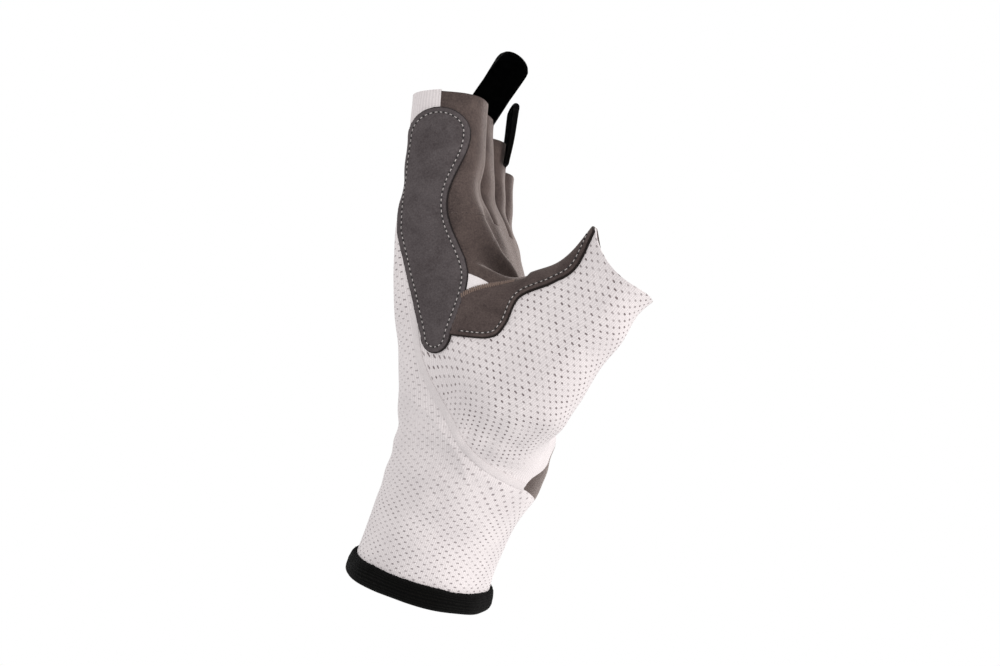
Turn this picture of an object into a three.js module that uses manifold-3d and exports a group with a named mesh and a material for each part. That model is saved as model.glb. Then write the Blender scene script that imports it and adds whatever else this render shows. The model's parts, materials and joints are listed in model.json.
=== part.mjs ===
// A left half-finger stick glove, standing as if a hand wore it: a knitted mesh back and wrist
// sleeve, a suede palm and finger fronts, a suede patch along the index finger, an open thumb
// and two webbing pull tabs. Millimetres, +Z from the wrist opening towards the fingers,
// +X towards the palm side, -Y towards the thumb side. The origin is the middle of the opening.
import * as THREE from "three";
import { ParametricGeometry } from "three/addons/geometries/ParametricGeometry.js";
import { mergeVertices } from "three/addons/utils/BufferGeometryUtils.js";
import Module from "manifold-3d";

const wasm = await Module();
wasm.setup();

// ---------------------------------------------------------------- driving dimensions
const PANEL = 1.6;              // wall of a mesh or suede panel
const PATCH = 1.4;              // thickness of a suede piece laid over a panel
const GAP = 0.4;                // clearance between neighbouring pieces
const AROUND = 40;              // facets around a sleeve
const FINGER_AROUND = 28;       // facets around a finger stall

const CUFF_DEPTH = 61;          // sleeve at the wrist opening, back to palm
const CUFF_BREADTH = 58;        // sleeve at the wrist opening, thumb side to little finger side
const BINDING_HEIGHT = 9.5;     // knitted edge roll at the opening
const BINDING_WALL = 3.4;
const WRIST_HEIGHT = 54;        // wrist crease above the opening
const WRIST_FORWARD = 7;        // and ahead of it, towards the palm
const WRIST_CLEAR = 14;         // the sleeve and the hand both stop this far from the crease
const WRIST_DEPTH = 61;
const WRIST_BREADTH = 64;
const EXTENSION = THREE.MathUtils.degToRad(12.3);   // hand leans back at the wrist
const DEVIATION = THREE.MathUtils.degToRad(6);      // and towards the little finger

const PALM_TOP = 94.5;          // palm body ends here, measured from the wrist crease
const PALM_DEPTH = 41;          // at the top
const PALM_BREADTH = 96;        // across the four finger roots
const SIDE_SEAM = 9;            // the side seam by the index finger is this far towards the palm
const FINGER_GAP = 1;           // between neighbouring stalls
const KNUCKLE_LENGTH = 19;      // flexing stretch at each finger root
const FINGER_DEPTH_ROOT = 37;
const FINGER_NARROWING = 0.92;  // breadth of a stall's end over its root
const FINGERS = [               // length from the palm's top to the open end, and depth there
  { name: "index", length: 56, depth: 33.5 },
  { name: "middle", length: 52.5, depth: 32 },
  { name: "ring", length: 46.5, depth: 30.5 },
  { name: "little", length: 38.5, depth: 28 },
];
const FINGER_BACK = 0.36;       // a back or front panel starts this far out, over the depth

const THUMB_HEIGHT = 36;        // thumb hinge above the wrist crease
const THUMB_FORWARD = 27;       // ahead of it
const THUMB_INSET = 18;         // and in from the palm's side
const THUMB_SPREAD = THREE.MathUtils.degToRad(51);  // thumb axis away from the fingers
const THUMB_LENGTH = 61;        // hinge to open end
const THUMB_WIDTH = 36.4;       // open end, in the plane of the spread
const THUMB_THICKNESS = 25;     // open end, across it
const THUMB_ROOT_WIDTH = 62;
const THUMB_ROOT_THICKNESS = 38;
const THUMB_FLEX_END = 30;      // the flexing root ends and the stall starts here
const STRIP_SHARE = 0.45;       // suede strip reaches this far across the thumb's upper half
const PATCH_FOOT = 39;          // lower tip of the index patch above the wrist crease
const PATCH_SETBACK = 11;       // its upper end below the end of the index stall
const PATCH_FRONT = 9.5;        // its front edge stands about this far towards the palm
const PATCH_BACK = 17;          // and its back edge this far towards the back
const PATCH_WAVE = 4;           // the front edge swells and narrows by this much
const PATCH_WAVES = 1.67;       // waves along its length
const PATCH_SWELL = 0.29;       // share of its length up to the lower swell
const PATCH_LEAN = 0.035;       // the front edge leans back as it rises
const PATCH_TAPER = 0.26;       // the back edge runs in this steeply towards the foot
const PATCH_TAPER_END = 0.49;   // share of its length where that taper ends
const PATCH_FOOT_CAP = 7;       // depth of its rounded lower end
const PATCH_TOP_CAP = 11;       // and of its upper end
const PATCH_STEPS = 12;         // facets along an edge
const CAP_STEPS = 8;            // facets round an end

const TAB_WIDTH = 14.5;         // folded webbing loops
const TAB_LENGTH = 27;
const TAB_WEBBING = 1.2;
const TAB_BULGE = 5.4;          // thickness of the loop's round end
const TAB_NECK = 2.9;           // thickness where it is sewn down
const TAB_LEAN = THREE.MathUtils.degToRad(27);
const TAB_TURN = THREE.MathUtils.degToRad(-48);     // the first tab faces thumb and palm
const TAB_CLEAR = 4;                      // above the end of its stall, where a strap is sewn inside it
const TAB_OVERLAP = 9;          // below the end of its stall, where a strap is sewn outside it

// ---------------------------------------------------------------- materials
const makeMaterial = (color, roughness) => new THREE.MeshStandardMaterial({ color, roughness, metalness: 0 });
const meshFabric = makeMaterial("#e4dcdc", 0.85);
const palmSuede = makeMaterial("#7d6e6b", 0.95);
const patchSuede = makeMaterial("#514a4b", 0.95);
const blackKnit = makeMaterial("#0a0909", 0.9);
const blackWebbing = makeMaterial("#0b0808", 0.8);
const whiteKnit = makeMaterial("#c9bfc0", 0.9);

// ---------------------------------------------------------------- solids
function solidOf(geometry) {
  const bare = geometry.clone();
  bare.deleteAttribute("normal");
  bare.deleteAttribute("uv");
  const merged = mergeVertices(bare, 1e-4);
  const index = merged.index.array;
  const faces = [];
  for (let i = 0; i < index.length; i += 3) {
    const [a, b, c] = [index[i], index[i + 1], index[i + 2]];
    if (a !== b && b !== c && c !== a) faces.push(a, b, c);
  }
  const vertProperties = new Float32Array(merged.attributes.position.array);
  return new wasm.Manifold(new wasm.Mesh({ numProp: 3, vertProperties, triVerts: new Uint32Array(faces) }));
}

function addPiece(group, name, solid, material) {
  const { vertProperties, triVerts } = solid.getMesh();
  const geometry = new THREE.BufferGeometry();
  geometry.setAttribute("position", new THREE.BufferAttribute(vertProperties, 3));
  geometry.setIndex(new THREE.BufferAttribute(triVerts, 1));
  geometry.computeVertexNormals();
  const mesh = new THREE.Mesh(geometry, material);
  mesh.name = name;
  group.add(mesh);
}

const signedPower = (value, power) => Math.sign(value) * Math.abs(value) ** power;

// One cross-section: a superellipse of the given depth (X) and breadth (Y) around (x, y) at height z.
const section = (z, x, y, depth, breadth, squareness = 2.4, frame = new THREE.Matrix4()) =>
  ({ z, x, y, depth, breadth, squareness, frame });

function sectionPoint(s, grow, angle, target) {
  const x = s.x + (s.depth / 2 + grow) * signedPower(Math.cos(angle), 2 / s.squareness);
  const y = s.y + (s.breadth / 2 + grow) * signedPower(Math.sin(angle), 2 / s.squareness);
  target.set(x, y, s.z).applyMatrix4(s.frame);
}

// An open tube through the sections. Its outside stands `grow` off them and its wall goes inwards.
function sleeve(sections, wall, around = AROUND, grow = 0) {
  const loop = 2 * sections.length;
  const surface = (u, v, target) => {
    const step = Math.round(v * loop) % loop;
    const outside = step < sections.length;
    const s = sections[outside ? step : loop - 1 - step];
    const angle = 2 * Math.PI * (Math.round(u * around) % around) / around;
    sectionPoint(s, outside ? grow : grow - wall, angle, target);
  };
  return solidOf(new ParametricGeometry(surface, around, loop));
}

// The filled shape through the sections, closed by a flat face at each end.
function core(sections, grow, around = AROUND) {
  const last = sections.length + 1;
  const surface = (u, v, target) => {
    const step = Math.round(v * last);
    const s = sections[Math.min(Math.max(step - 1, 0), sections.length - 1)];
    const angle = 2 * Math.PI * (Math.round(u * around) % around) / around;
    if (step === 0 || step === last) target.set(s.x, s.y, s.z).applyMatrix4(s.frame);
    else sectionPoint(s, grow, angle, target);
  };
  return solidOf(new ParametricGeometry(surface, around, last));
}

function block(x0, x1, y0, y1, z0, z1) {
  const box = new THREE.BoxGeometry(x1 - x0, y1 - y0, z1 - z0);
  return solidOf(box.translate((x0 + x1) / 2, (y0 + y1) / 2, (z0 + z1) / 2));
}

// A shape drawn in the X-Z plane, taken through from y0 to y1.
function sideways(shape, y0, y1) {
  const extruded = new THREE.ExtrudeGeometry(shape, { depth: y1 - y0, bevelEnabled: false, curveSegments: 3 });
  return solidOf(extruded.rotateX(Math.PI / 2).translate(0, y1, 0));
}

const FAR = 200;                // beyond the glove in any direction
const polygon = (points) => new THREE.Shape(points.map(([x, y]) => new THREE.Vector2(x, y)));

// ---------------------------------------------------------------- frames of the moving bodies
const glove = new THREE.Group();
const hand = new THREE.Group();
hand.position.set(WRIST_FORWARD, 0, WRIST_HEIGHT);
hand.rotation.set(-DEVIATION, -EXTENSION, 0, "YXZ");
glove.add(hand);
hand.updateMatrix();

const thumb = new THREE.Group();
thumb.position.set(THUMB_FORWARD, THUMB_INSET - PALM_BREADTH / 2, THUMB_HEIGHT);
thumb.rotation.set(0, THUMB_SPREAD, 0);
hand.add(thumb);
thumb.updateMatrix();

// ---------------------------------------------------------------- wrist sleeve
const sleeveTop = WRIST_HEIGHT - WRIST_CLEAR;
const sleeveBottom = BINDING_HEIGHT + GAP;
const cuffSection = (z) => {
  const rise = z / sleeveTop;
  const depth = CUFF_DEPTH + (WRIST_DEPTH - CUFF_DEPTH) * rise;
  const breadth = CUFF_BREADTH + (WRIST_BREADTH - CUFF_BREADTH) * rise;
  return section(z, WRIST_FORWARD * rise, 0, depth, breadth, 2.2);
};
const sleeveSections = [sleeveBottom, (sleeveBottom + sleeveTop) / 2, sleeveTop].map(cuffSection);
const sleeveTube = sleeve(sleeveSections, PANEL);
const sleeveSeamX = WRIST_FORWARD / 2;
addPiece(glove, "sleeve_back", sleeveTube.intersect(block(-FAR, sleeveSeamX, -FAR, FAR, 0, FAR)), meshFabric);
addPiece(glove, "sleeve_front", sleeveTube.intersect(block(sleeveSeamX + GAP, FAR, -FAR, FAR, 0, FAR)), meshFabric);

// The binding is a flat-bottomed roll, a little proud of the sleeve outside and inside.
const bindingProud = (BINDING_WALL - PANEL) / 2;
const bindingSections = [0, BINDING_HEIGHT * 0.2, BINDING_HEIGHT * 0.8, BINDING_HEIGHT].map(cuffSection);
bindingSections[0].depth -= bindingProud;
bindingSections[0].breadth -= bindingProud;
bindingSections[3].depth -= bindingProud;
bindingSections[3].breadth -= bindingProud;
addPiece(glove, "cuff_binding", sleeve(bindingSections, BINDING_WALL, AROUND, bindingProud), blackKnit);

// ---------------------------------------------------------------- palm
const handBottom = WRIST_CLEAR;
const rootX = -1;               // middle of the finger roots, back to palm
const palmSections = [
  section(handBottom, 9, 0, WRIST_DEPTH, WRIST_BREADTH + 3, 2.3),
  section(handBottom + (PALM_TOP - handBottom) * 0.2, 7.5, 0, WRIST_DEPTH - 4, 0.79 * PALM_BREADTH),
  section(handBottom + (PALM_TOP - handBottom) * 0.45, 5, 0, PALM_DEPTH + 9, 0.9 * PALM_BREADTH),
  section(handBottom + (PALM_TOP - handBottom) * 0.7, 2, 0, PALM_DEPTH + 4, 0.97 * PALM_BREADTH, 2.8),
  section(PALM_TOP, rootX, 0, PALM_DEPTH - 2, PALM_BREADTH, 4),
];
const atWrist = { ...palmSections[0], z: handBottom - GAP, frame: hand.matrix };
const wristMiddle = section(WRIST_HEIGHT, WRIST_FORWARD, 0, WRIST_DEPTH - 1, WRIST_BREADTH, 2.2);
const wristFlex = sleeve([cuffSection(sleeveTop + GAP), wristMiddle, atWrist], PANEL);
addPiece(glove, "wrist_crease", wristFlex, meshFabric);

// Thumb sections, in the thumb's own frame: Z along the thumb, X towards its lower edge.
const thumbStart = -26;
const thumbShape = [
  section(thumbStart, 4, 4, 0.4 * THUMB_ROOT_WIDTH, 0.3 * THUMB_ROOT_THICKNESS),
  section(-12, 3, 1, 0.86 * THUMB_ROOT_WIDTH, 0.8 * THUMB_ROOT_THICKNESS),
  section(2, 2, 0, THUMB_ROOT_WIDTH, THUMB_ROOT_THICKNESS),
  section(14, 1.5, -1.5, 0.88 * THUMB_ROOT_WIDTH, 0.94 * THUMB_ROOT_THICKNESS),
  section(THUMB_FLEX_END - GAP, 1.5, -4.5, 0.3 * THUMB_ROOT_WIDTH + 0.68 * THUMB_WIDTH, 0.84 * THUMB_ROOT_THICKNESS),
  section(THUMB_FLEX_END, 1.5, -4.5, 0.3 * THUMB_ROOT_WIDTH + 0.68 * THUMB_WIDTH, 0.84 * THUMB_ROOT_THICKNESS),
  section((THUMB_FLEX_END + THUMB_LENGTH) / 2, 1, -6.5, THUMB_WIDTH, 0.5 * (THUMB_ROOT_THICKNESS + THUMB_THICKNESS) - 2),
  section(THUMB_LENGTH, -0.4, -8, THUMB_WIDTH, THUMB_THICKNESS),
];
const thumbRoot = thumbShape.slice(0, 5);
const thumbStall = thumbShape.slice(5);
const inHand = (sections) => sections.map((s) => ({ ...s, frame: thumb.matrix }));
const palmTube = sleeve(palmSections, PANEL);
const palmCore = core(palmSections, GAP);
const thumbHole = core(inHand(thumbRoot), GAP);
const openPalm = palmTube.subtract(thumbHole);

// The back and the palm meet along the sides. On the thumb side the seam runs down into the
// thumb's opening and out of its lower edge.
const seamLine = (shift) => [
  [SIDE_SEAM + shift, FAR], [SIDE_SEAM + shift, THUMB_HEIGHT + 0.3 * THUMB_ROOT_WIDTH],
  [THUMB_FORWARD + shift, THUMB_HEIGHT], [THUMB_FORWARD + shift, -FAR],
];
const thumbSideBack = sideways(polygon([...seamLine(0), [-FAR, -FAR], [-FAR, FAR]]), -FAR, 0);
const thumbSidePalm = sideways(polygon([...seamLine(GAP), [FAR, -FAR], [FAR, FAR]]), -FAR, 0);
const backRegion = thumbSideBack.add(block(-FAR, 0, 0, FAR, -FAR, FAR));
const palmRegion = thumbSidePalm.add(block(GAP, FAR, 0, FAR, -FAR, FAR));
addPiece(hand, "back_panel", openPalm.intersect(backRegion), meshFabric);
addPiece(hand, "palm_panel", openPalm.intersect(palmRegion), palmSuede);

// ---------------------------------------------------------------- thumb
const aboveWrist = block(-FAR, FAR, -FAR, FAR, handBottom, FAR);
const rootTube = sleeve(inHand(thumbRoot), PANEL).subtract(palmCore).intersect(aboveWrist);
addPiece(hand, "thumb_root", rootTube, meshFabric);

const thumbTube = sleeve(thumbStall, PANEL);
const faceSplit = thumbStall[1].y + 3;
const outerFace = block(-FAR, FAR, -FAR, faceSplit, 0, FAR);
const innerFace = block(-FAR, FAR, faceSplit + GAP, FAR, 0, FAR);
addPiece(thumb, "thumb_mesh", thumbTube.intersect(outerFace), meshFabric);
addPiece(thumb, "thumb_suede", thumbTube.intersect(innerFace), palmSuede);
const stripEdge = -STRIP_SHARE * THUMB_WIDTH / 2;
const stripTube = sleeve(thumbStall, PATCH, AROUND, GAP + PATCH);
const stripRegion = block(-FAR, stripEdge, -FAR, faceSplit + THUMB_THICKNESS / 4, 0, FAR);
addPiece(thumb, "thumb_strip", stripTube.intersect(stripRegion), patchSuede);

// ---------------------------------------------------------------- fingers
const stallBreadth = (PALM_BREADTH - 3 * FINGER_GAP) / 4;
const stallPitch = stallBreadth + FINGER_GAP;
const knuckleTop = PALM_TOP + KNUCKLE_LENGTH;
const kneeHeight = PALM_TOP + KNUCKLE_LENGTH / 2;

function stallSection(finger, order, z) {
  const along = (z - PALM_TOP) / finger.length;
  const middle = (order - 1.5) * stallPitch;
  const narrowing = 1 + (FINGER_NARROWING - 1) * along;
  const depth = FINGER_DEPTH_ROOT + (finger.depth - FINGER_DEPTH_ROOT) * along;
  return section(z, rootX - along, middle * narrowing, depth, stallBreadth * narrowing, 3);
}

const stallSections = {};
FINGERS.forEach((finger, order) => {
  const at = (heights) => heights.map((z) => stallSection(finger, order, z));
  const knuckle = at([PALM_TOP + GAP, kneeHeight, knuckleTop - GAP]);
  const stall = at([knuckleTop, PALM_TOP + finger.length]);
  stallSections[finger.name] = { knuckle, stall };
  const body = new THREE.Group();
  hand.add(body);
  addPiece(body, `${finger.name}_knuckle`, sleeve(knuckle, PANEL, FINGER_AROUND), palmSuede);

  const tube = sleeve(stall, PANEL, FINGER_AROUND);
  const middleX = (stall[0].x + stall[1].x) / 2;
  const middleY = (stall[0].y + stall[1].y) / 2;
  const reach = FINGER_BACK * finger.depth;
  const backX = middleX - reach;
  const frontX = middleX + reach;
  const cut = (x0, x1, y0, y1) => tube.intersect(block(x0, x1, y0, y1, 0, FAR));
  addPiece(body, `${finger.name}_back`, cut(-FAR, backX, -FAR, FAR), meshFabric);
  addPiece(body, `${finger.name}_front`, cut(frontX, FAR, -FAR, FAR), palmSuede);
  addPiece(body, `${finger.name}_thumb_side`, cut(backX + GAP, frontX - GAP, -FAR, middleY), palmSuede);
  addPiece(body, `${finger.name}_outer_side`, cut(backX + GAP, frontX - GAP, middleY, FAR), palmSuede);
});

// ---------------------------------------------------------------- index patch and web pieces
const patchEnd = PALM_TOP + FINGERS[0].length - PATCH_SETBACK;
const patchLength = patchEnd - PATCH_FOOT;
const front = PALM_DEPTH / 2;

function patchEdges(z) {
  const share = (z - PATCH_FOOT) / patchLength;
  const wave = PATCH_WAVE * Math.cos(2 * Math.PI * PATCH_WAVES * (share - PATCH_SWELL));
  const lean = PATCH_LEAN * patchLength * (share - PATCH_SWELL);
  const taper = PATCH_TAPER * patchLength * Math.max(PATCH_TAPER_END - share, 0);
  return { front: PATCH_FRONT + wave - lean, back: taper - PATCH_BACK };
}

// Half an ellipse that closes the patch between its two edges, upwards for a positive depth.
function patchCap(z, depth) {
  const edges = patchEdges(z);
  const middle = (edges.front + edges.back) / 2;
  const half = (edges.front - edges.back) / 2;
  return Array.from({ length: CAP_STEPS - 1 }, (_, i) => {
    const turn = Math.PI * (i + 1) / CAP_STEPS;
    return [middle + half * Math.cos(turn), z + depth * Math.sin(turn)];
  });
}

function patchShape() {
  const bottom = PATCH_FOOT + PATCH_FOOT_CAP;
  const top = patchEnd - PATCH_TOP_CAP;
  const heights = Array.from({ length: PATCH_STEPS + 1 }, (_, i) => bottom + (top - bottom) * i / PATCH_STEPS);
  const frontEdge = heights.map((z) => [patchEdges(z).front, z]);
  const backEdge = heights.map((z) => [patchEdges(z).back, z]).reverse();
  const foot = patchCap(bottom, -PATCH_FOOT_CAP).reverse();
  return polygon([...frontEdge, ...patchCap(top, PATCH_TOP_CAP), ...backEdge, ...foot]);
}

const patchPrism = sideways(patchShape(), -FAR, -1.5 * stallPitch);
const overlay = (sections, around) => sleeve(sections, PATCH, around, GAP + PATCH);
const { knuckle: indexKnuckle, stall: indexStall } = stallSections.index;
const onPalm = overlay(palmSections, AROUND).subtract(core(inHand(thumbRoot), 2 * GAP + PATCH));
addPiece(hand, "index_patch_lower", onPalm.intersect(patchPrism), patchSuede);
addPiece(hand, "index_patch_crease", overlay(indexKnuckle, FINGER_AROUND).intersect(patchPrism), patchSuede);
addPiece(hand, "index_patch_upper", overlay(indexStall, FINGER_AROUND).intersect(patchPrism), patchSuede);

// The web between the index finger and the thumb: a white gusset, and below it the suede strip's
// root, which runs on along the thumb's upper edge as thumb_strip.
const clearOfPatch = patchPrism.add(patchPrism.translate(GAP, 0, 0));
const crotch = THUMB_HEIGHT + THUMB_ROOT_WIDTH / 2;
const gussetOutline = polygon([
  [0.54 * front, crotch - 0.5], [1.17 * front, crotch - 0.5], [0.68 * front, crotch + 9], [0.49 * front, crotch + 11],
]);
const gussetPrism = sideways(gussetOutline, -FAR, -PALM_BREADTH / 4).subtract(clearOfPatch);
addPiece(hand, "web_gusset", onPalm.intersect(gussetPrism), whiteKnit);
const rootStripEdge = polygon([
  [0, crotch - 20], [THUMB_FORWARD - 5, crotch - 21], [THUMB_FORWARD + 5, crotch - 7],
  [THUMB_FORWARD + 21, crotch + 4], [THUMB_FORWARD + 3, crotch + 23], [0, crotch - 1],
]);
const rootOverlay = overlay(inHand(thumbRoot), AROUND).subtract(core(palmSections, 2 * GAP + PATCH));
const rootStripPrism = sideways(rootStripEdge, -FAR, THUMB_INSET - PALM_BREADTH / 2).subtract(clearOfPatch);
addPiece(hand, "thumb_strip_root", rootOverlay.intersect(rootStripPrism), patchSuede);

// ---------------------------------------------------------------- pull tabs
// A strap folded back on itself: narrow where it is sewn, with a round open end.
function tabLoop() {
  const half = TAB_BULGE / 2;
  const neck = TAB_NECK / 2;
  const top = TAB_LENGTH - half;
  const outline = new THREE.Shape();
  outline.moveTo(-neck, 0).lineTo(neck, 0).lineTo(half, top);
  outline.absarc(0, top, half, 0, Math.PI, false);
  outline.lineTo(-neck, 0);
  const inner = half - TAB_WEBBING;
  const hollow = new THREE.Path();
  hollow.moveTo(0, TAB_LENGTH * 0.3).lineTo(-inner, top);
  hollow.absarc(0, top, inner, Math.PI, 0, true);
  hollow.lineTo(0, TAB_LENGTH * 0.3);
  outline.holes.push(hollow);
  const strap = new THREE.ExtrudeGeometry(outline, { depth: TAB_WIDTH, bevelEnabled: false, curveSegments: 8 });
  return solidOf(strap.translate(0, 0, -TAB_WIDTH / 2).rotateX(Math.PI / 2));
}

function addTab(name, finger, place, turn, lean) {
  const end = stallSections[finger].stall[1];
  const tab = new THREE.Group();
  tab.position.set(end.x + end.depth / 2 + place.x, end.y + place.y, end.z + place.z);
  tab.rotation.set(0, lean, turn, "YZX");
  hand.add(tab);
  addPiece(tab, name, tabLoop(), blackWebbing);
}

const sewnInside = { x: -PANEL - TAB_NECK / 2, y: 2, z: TAB_CLEAR };
const sewnOutside = { x: 2 * GAP + TAB_NECK / 2, y: 0, z: -TAB_OVERLAP };
addTab("tab_middle", "middle", sewnInside, TAB_TURN, TAB_LEAN);
addTab("tab_ring", "ring", sewnOutside, 0, TAB_LEAN / 6);

export default glove;
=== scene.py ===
"""The looks of a left half-finger stick glove: knitted mesh, suede panels, stitching and straps.

Shapes are worked out in millimetres in the hand's own frame: the origin is the wrist crease, Z
runs to the fingers, X to the palm side and -Y to the thumb side. to_row() turns them into metres
in the part's frame.
"""
import json
import math

import bpy
import numpy as np
from mathutils import Matrix, Vector


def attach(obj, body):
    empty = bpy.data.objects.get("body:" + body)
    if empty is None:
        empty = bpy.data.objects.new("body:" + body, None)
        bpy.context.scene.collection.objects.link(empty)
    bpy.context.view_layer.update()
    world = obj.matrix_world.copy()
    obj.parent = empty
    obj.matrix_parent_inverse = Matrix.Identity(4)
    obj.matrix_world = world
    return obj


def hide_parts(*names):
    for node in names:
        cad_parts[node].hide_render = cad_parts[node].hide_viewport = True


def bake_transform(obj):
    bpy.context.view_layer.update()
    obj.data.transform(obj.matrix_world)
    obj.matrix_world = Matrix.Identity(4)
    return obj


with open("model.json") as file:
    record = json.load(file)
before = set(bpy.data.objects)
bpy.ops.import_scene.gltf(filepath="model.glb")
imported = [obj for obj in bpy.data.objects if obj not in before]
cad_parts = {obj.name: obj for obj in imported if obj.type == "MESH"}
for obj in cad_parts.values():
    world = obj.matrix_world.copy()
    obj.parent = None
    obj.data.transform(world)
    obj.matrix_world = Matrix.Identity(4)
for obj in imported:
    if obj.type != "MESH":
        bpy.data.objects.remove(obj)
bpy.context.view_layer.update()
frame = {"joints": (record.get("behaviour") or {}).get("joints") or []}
joints = {joint["name"]: joint for joint in frame["joints"]}

# ------------------------------------------------------------------ driving dimensions (mm)
MM = 0.001
LEAN = math.radians(12.3)        # the hand leans back at the wrist
DEVIATION = math.radians(6)      # and towards the little finger
PALM_TOP = 94.5                  # finger stalls start here
FINGER_PITCH = 24.25
STALL_HALF = 11.6                # half the breadth of a finger root
FINGER_NAMES = ("index", "middle", "ring", "little")
STALL_END = {"index": 150.5, "middle": 146.5, "ring": 141.5, "little": 133}
STALL_DEPTH = {"index": 30.6, "middle": 27.6, "ring": 27.4, "little": 26.4}
STALL_DRIFT = {"index": -0.1, "middle": -2.1, "ring": -0.6, "little": 2.2}
CROTCH_HEIGHT = 111              # where two fingers part
PALM_TOP_DEPTH = 17.7            # half depth of the palm where the fingers start
THUMB_HINGE = np.array([27.0, -30.0, 36.0])
THUMB_SPREAD = math.radians(51)
THUMB_START, THUMB_END = -32, 61.3       # along the thumb, from its hinge
THUMB_FILLET = 15.0              # how softly the thumb grows out of the palm
SIDE_SEAM = -4.8                 # white back meets suede front along the index finger
RIM_DIP = 2.6                    # the wrist opening slopes down to the palm side by twice this
MESH_CLOTH = 0.9                 # cloth thicknesses
SUEDE_CLOTH = 1.0
PATCH_CLOTH = 0.85
WRAP = 210.0                     # once round the sleeve, a whole number of knitted wales
BODY_GRID, SIDE_GRID = 2.2, 1.5  # cell sizes when a form is turned into a sheet
CREASE_ANGLE = math.radians(48)  # sharper edges than this keep their corner
SEED = 7

# ------------------------------------------------------------------ frames
hand_turn = np.array((Matrix.Rotation(-LEAN, 3, "Y") @ Matrix.Rotation(-DEVIATION, 3, "X")))
wrist = np.array(joints["wrist_flex"]["pos_m"]) / MM
thumb_turn = np.array(Matrix.Rotation(THUMB_SPREAD, 3, "Y"))


def to_row(points):
    """Hand frame in millimetres to the part's frame in metres."""
    return (np.asarray(points) @ hand_turn.T + wrist) * MM


def to_hand(points_mm):
    """The part's frame, in millimetres, to the hand frame."""
    return (np.asarray(points_mm) - wrist) @ hand_turn


def row_height(points):
    """Height above the wrist opening of points given in the hand frame."""
    return (points @ hand_turn.T + wrist)[..., 2]


def to_thumb(points):
    """Hand frame to the thumb's frame: Z along it, X towards its lower edge."""
    return (points - THUMB_HINGE) @ thumb_turn


# ------------------------------------------------------------------ the form of the filled glove
def eased(share):
    """0 to 1 with a slow start and a slow end."""
    return share * share * (3 - 2 * share)


def stations(rows, step=1.0, ease=5.0):
    """Turns rows of (position, value, ...) into one eased curve for each value."""
    rows = np.array(rows, float)
    at = np.arange(rows[0, 0], rows[-1, 0] + step, step)
    reach = np.arange(-3 * ease, 3 * ease + step, step)
    weights = np.exp(-0.5 * (reach / ease) ** 2)
    weights /= weights.sum()
    curves = []
    for column in rows[:, 1:].T:
        values = np.interp(at, rows[:, 0], column)
        pad = len(reach) // 2
        padded = np.concatenate([np.full(pad, values[0]), values, np.full(pad, values[-1])])
        curves.append(np.convolve(padded, weights, "valid")[: len(at)])
    return lambda z: [np.interp(z, at, curve) for curve in curves]


# height, middle back-to-palm, middle side-to-side, half depth, half breadth, end rounding, squareness
palm_at = stations([
    (-75, -24.5, 7.5, 30.5, 29.5, 29.5, 2.1),
    (-51, -18.3, 5.4, 30.0, 29.3, 29.3, 2.1),
    (-30, -10.4, 3.2, 29.8, 30.0, 30.0, 2.1),
    (-13, -0.3, 1.3, 33.4, 31.5, 31.5, 2.15),
    (3, 5.3, 0.0, 32.9, 32.8, 32.8, 2.2),
    (14, 6.9, 0.0, 32.6, 34.5, 34.5, 2.25),
    (30, 5.5, 0.0, 30.5, 38.5, 37.0, 2.3),
    (50, 3.0, 0.0, 27.3, 43.0, 34.0, 2.4),
    (70, 0.9, 0.0, 24.0, 46.5, 22.0, 2.5),
    (84, 0.3, 0.0, 21.2, 47.6, 14.0, 2.6),
    (96, -0.4, 0.0, 18.8, 48.0, 11.6, 2.7),
    (112, -0.6, 0.0, PALM_TOP_DEPTH, 48.0, 11.6, 2.7),
])
# along the thumb: middle across, middle through, half width, half thickness
thumb_at = stations([
    (THUMB_START, 4.0, 5.0, 8.0, 6.0),
    (-14, 3.6, 1.5, 27.0, 17.0),
    (2, 3.0, 0.0, 30.6, 18.6),
    (14, 1.8, -1.8, 27.4, 17.6),
    (26, 1.4, -3.8, 23.6, 16.0),
    (40, 3.2, -5.8, 19.2, 14.4),
    (52, 0.9, -7.2, 17.4, 13.2),
    (61, -0.5, -8.0, 18.2, 12.6),
    (72, -1.5, -8.5, 20.0, 12.4),
], ease=4.0)


def arch(y, z):
    """How far the little-finger side of the palm falls back from the plane of the index finger."""
    start, height = 35, 50
    middle, slope, rounding = 2, 0.17, 6
    rise = np.clip((z - start) / height, 0, 1)
    beyond = np.clip(y - middle, 0, 60)
    return -slope * beyond ** 2 / (beyond + rounding) * eased(rise)


def rounded_radius(x, y, square):
    """1 on a rounded rectangle of half sizes 1; square 2 is an ellipse, more is squarer."""
    return (x ** square + y ** square + 1e-12) ** (1 / square)


def palm_field(p):
    """Below zero inside the palm and sleeve, roughly in millimetres."""
    mid_x, mid_y, depth, breadth, end, square = palm_at(p[..., 2])
    x = np.abs(p[..., 0] - mid_x - arch(p[..., 1], p[..., 2])) / depth
    y = np.maximum(np.abs(p[..., 1] - mid_y) - (breadth - end), 0) / end
    return (rounded_radius(x, y, square) - 1) * np.minimum(depth, end * 1.6)


def thumb_field(p):
    """Below zero inside the thumb."""
    q = to_thumb(p)
    mid_x, mid_y, width, thickness = thumb_at(q[..., 2])
    x = np.abs(q[..., 0] - mid_x) / width
    y = np.abs(q[..., 1] - mid_y) / thickness
    return np.maximum((rounded_radius(x, y, 2.3) - 1) * thickness, THUMB_START - q[..., 2])


def joined(a, b, fillet):
    """Two forms grown together with a fillet."""
    share = np.clip(0.5 + 0.5 * (b - a) / fillet, 0, 1)
    return b * (1 - share) + a * share - fillet * share * (1 - share)


def wave(p, direction, length, phase=0.0):
    """A gentle sine along a direction; length is crest to crest in millimetres."""
    along = p @ (np.array(direction, float) / np.linalg.norm(direction))
    return np.sin(2 * math.pi * along / length + phase)


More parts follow.
